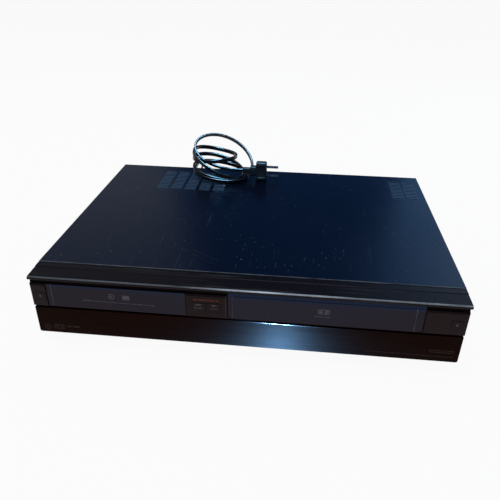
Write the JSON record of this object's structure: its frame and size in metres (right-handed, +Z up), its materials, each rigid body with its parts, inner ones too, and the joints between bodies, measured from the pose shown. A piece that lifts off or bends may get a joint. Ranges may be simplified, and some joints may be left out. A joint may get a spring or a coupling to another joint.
{
  "type": "disc and tape combo player",
  "caption": "Low wide disc and tape combo player with a sliding disc tray, a tape door, a full-width drop flap, a vented steel cover and a coiled mains lead.",
  "frame": {"origin": "centre of the footprint of the casing, on the plane its feet stand on", "axes": "+X to the right seen from the front, +Y to the back, +Z up; the front faces -Y"},
  "size_m": [0.4336, 0.3734, 0.1365],
  "materials": {
    "cover_steel": "dark blue-black textured paint",
    "plated_steel": "zinc-plated sheet",
    "rear_steel": "satin black paint",
    "front_moulding": "dark brown-black, low gloss",
    "flap_face": "brushed and anodised dark brown",
    "door_face": "dark brown-black, low gloss",
    "foot_rubber": "matt",
    "screw_steel": "blackened",
    "display_glass": "smoked",
    "circuit_board": "solder-masked laminate",
    "power_laminate": "bare laminate",
    "black_plastic": "moulded, satin",
    "gear_plastic": "moulded, off-white",
    "motor_steel": "plated can",
    "bright_steel": "ground",
    "drum_metal": "turned and polished",
    "roller_rubber": "ground",
    "winding": "taped winding",
    "capacitor_sleeve": "shrink sleeve",
    "cord_vinyl": "glossy",
    "plug_vinyl": "satin"
  },
  "bodies": {
    "chassis": {"chassis_pan": "plated_steel", "top_cover": "cover_steel", "rear_panel": "rear_steel", "front_bezel": "front_moulding", "foot_left_front": "foot_rubber", "foot_right_front": "foot_rubber", "foot_left_rear": "foot_rubber", "foot_right_rear": "foot_rubber", "cover_screw_left_front": "screw_steel", "cover_screw_right_front": "screw_steel", "cover_screw_left_rear": "screw_steel", "cover_screw_right_rear": "screw_steel", "rear_screw_left": "screw_steel", "rear_screw_right": "screw_steel", "display_tube": "display_glass", "front_board": "circuit_board", "drive_frame": "black_plastic", "loading_motor": "motor_steel", "deck_plate": "plated_steel", "deck_side_left": "plated_steel", "deck_side_right": "plated_steel", "lower_drum": "drum_metal", "power_board": "power_laminate", "transformer": "winding", "main_capacitor": "capacitor_sleeve", "main_board": "circuit_board", "jack_board": "circuit_board", "jack_block": "black_plastic", "fan_frame": "black_plastic", "cord_gland": "plug_vinyl", "mains_cord": "cord_vinyl", "mains_cord_coil": "cord_vinyl", "mains_plug": "plug_vinyl"},
    "drop_flap": {"front_flap": "flap_face"},
    "tape_door": {"tape_door": "door_face"},
    "tray": {"disc_tray": "black_plastic", "tray_door": "door_face"},
    "tray_pinion": {"tray_pinion": "gear_plastic"},
    "traverse": {"traverse": "plated_steel", "sled_rod_left": "bright_steel", "sled_rod_right": "bright_steel"},
    "turntable": {"turntable": "black_plastic"},
    "pickup_sled": {"pickup_sled": "black_plastic"},
    "disc_clamp": {"disc_clamp": "black_plastic"},
    "cassette_yoke": {"cassette_yoke": "plated_steel"},
    "cassette_holder": {"cassette_holder": "plated_steel"},
    "head_drum": {"head_drum": "drum_metal"},
    "reel_table_left": {"reel_table_left": "gear_plastic"},
    "reel_table_right": {"reel_table_right": "gear_plastic"},
    "capstan": {"capstan_flywheel": "bright_steel"},
    "pinch_roller": {"pinch_roller": "roller_rubber"},
    "fan_rotor": {"fan_rotor": "black_plastic"},
    "power_button": {"power_button": "front_moulding"},
    "eject_button": {"eject_button": "front_moulding"},
    "dub_to_disc_button": {"dub_to_disc_button": "front_moulding"},
    "dub_to_tape_button": {"dub_to_tape_button": "front_moulding"},
    "tray_key": {"tray_key": "front_moulding"},
    "play_key": {"play_key": "front_moulding"},
    "stop_key": {"stop_key": "front_moulding"},
    "record_key": {"record_key": "front_moulding"}
  },
  "joints": [
    {"name": "flap_hinge", "type": "hinge", "parent": "chassis", "child": "drop_flap", "pos_m": [0, -0.1547, 0.018], "axis": [1, 0, 0], "range_deg": [0, 90]},
    {"name": "tape_door_hinge", "type": "hinge", "parent": "chassis", "child": "tape_door", "pos_m": [0.08005, -0.1579, 0.0774], "axis": [1, 0, 0], "range_deg": [0, 90], "stiffness_Nm_per_rad": 0.01, "springref_deg": -17.19},
    {"name": "tray_slide", "type": "slide", "parent": "chassis", "child": "tray", "axis": [0, -1, 0], "range_m": [0, 0.135]},
    {"name": "tray_pinion_turn", "type": "hinge", "parent": "chassis", "child": "tray_pinion", "pos_m": [-0.172, -0.122, 0.045], "axis": [0, 0, 1], "range_deg": [-10, 975]},
    {"name": "traverse_lift", "type": "slide", "parent": "chassis", "child": "traverse", "axis": [0, 0, 1], "range_m": [0, 0.0075]},
    {"name": "turntable_spin", "type": "hinge", "parent": "traverse", "child": "turntable", "pos_m": [-0.127, -0.0837, 0.045], "axis": [0, 0, 1], "continuous": true},
    {"name": "sled_slide", "type": "slide", "parent": "traverse", "child": "pickup_sled", "axis": [0, 1, 0], "range_m": [0, 0.034]},
    {"name": "clamp_spin", "type": "hinge", "parent": "chassis", "child": "disc_clamp", "pos_m": [-0.127, -0.0837, 0.066], "axis": [0, 0, 1], "continuous": true},
    {"name": "yoke_slide", "type": "slide", "parent": "chassis", "child": "cassette_yoke", "axis": [0, 1, 0], "range_m": [0, 0.06]},
    {"name": "holder_drop", "type": "slide", "parent": "cassette_yoke", "child": "cassette_holder", "axis": [0, 0, -1], "range_m": [0, 0.0165]},
    {"name": "head_drum_spin", "type": "hinge", "parent": "chassis", "child": "head_drum", "pos_m": [0.08005, 0.045, 0.036], "axis": [0, 0.0872, 0.9962], "continuous": true},
    {"name": "reel_left_spin", "type": "hinge", "parent": "chassis", "child": "reel_table_left", "pos_m": [0.03405, -0.05, 0.03], "axis": [0, 0, 1], "continuous": true},
    {"name": "reel_right_spin", "type": "hinge", "parent": "chassis", "child": "reel_table_right", "pos_m": [0.12605, -0.05, 0.03], "axis": [0, 0, 1], "continuous": true},
    {"name": "capstan_spin", "type": "hinge", "parent": "chassis", "child": "capstan", "pos_m": [0.13805, 0.014, 0.03], "axis": [0, 0, 1], "continuous": true},
    {"name": "pinch_roller_spin", "type": "hinge", "parent": "chassis", "child": "pinch_roller", "pos_m": [0.14605, 0.02, 0.04], "axis": [0, 0, 1], "continuous": true},
    {"name": "fan_spin", "type": "hinge", "parent": "chassis", "child": "fan_rotor", "pos_m": [-0.05, 0.1445, 0.046], "axis": [0, 1, 0], "continuous": true},
    {"name": "power_button_press", "type": "slide", "parent": "chassis", "child": "power_button", "axis": [0, 1, 0], "range_m": [0, 0.001], "stiffness_N_per_m": 600, "springref_m": -0.001},
    {"name": "eject_button_press", "type": "slide", "parent": "chassis", "child": "eject_button", "axis": [0, 1, 0], "range_m": [0, 0.001], "stiffness_N_per_m": 600, "springref_m": -0.001},
    {"name": "dub_to_disc_button_press", "type": "slide", "parent": "chassis", "child": "dub_to_disc_button", "axis": [0, 1, 0], "range_m": [0, 0.001], "stiffness_N_per_m": 600, "springref_m": -0.001},
    {"name": "dub_to_tape_button_press", "type": "slide", "parent": "chassis", "child": "dub_to_tape_button", "axis": [0, 1, 0], "range_m": [0, 0.001], "stiffness_N_per_m": 600, "springref_m": -0.001},
    {"name": "tray_key_press", "type": "slide", "parent": "chassis", "child": "tray_key", "axis": [0, 1, 0], "range_m": [0, 0.001], "stiffness_N_per_m": 600, "springref_m": -0.001},
    {"name": "play_key_press", "type": "slide", "parent": "chassis", "child": "play_key", "axis": [0, 1, 0], "range_m": [0, 0.001], "stiffness_N_per_m": 600, "springref_m": -0.001},
    {"name": "stop_key_press", "type": "slide", "parent": "chassis", "child": "stop_key", "axis": [0, 1, 0], "range_m": [0, 0.001], "stiffness_N_per_m": 600, "springref_m": -0.001},
    {"name": "record_key_press", "type": "slide", "parent": "chassis", "child": "record_key", "axis": [0, 1, 0], "range_m": [0, 0.001], "stiffness_N_per_m": 600, "springref_m": -0.001}
  ],
  "couplings": [
    {"joint": "tray_pinion_turn", "follows": "tray_slide", "rad_per_m": 125}
  ]
}
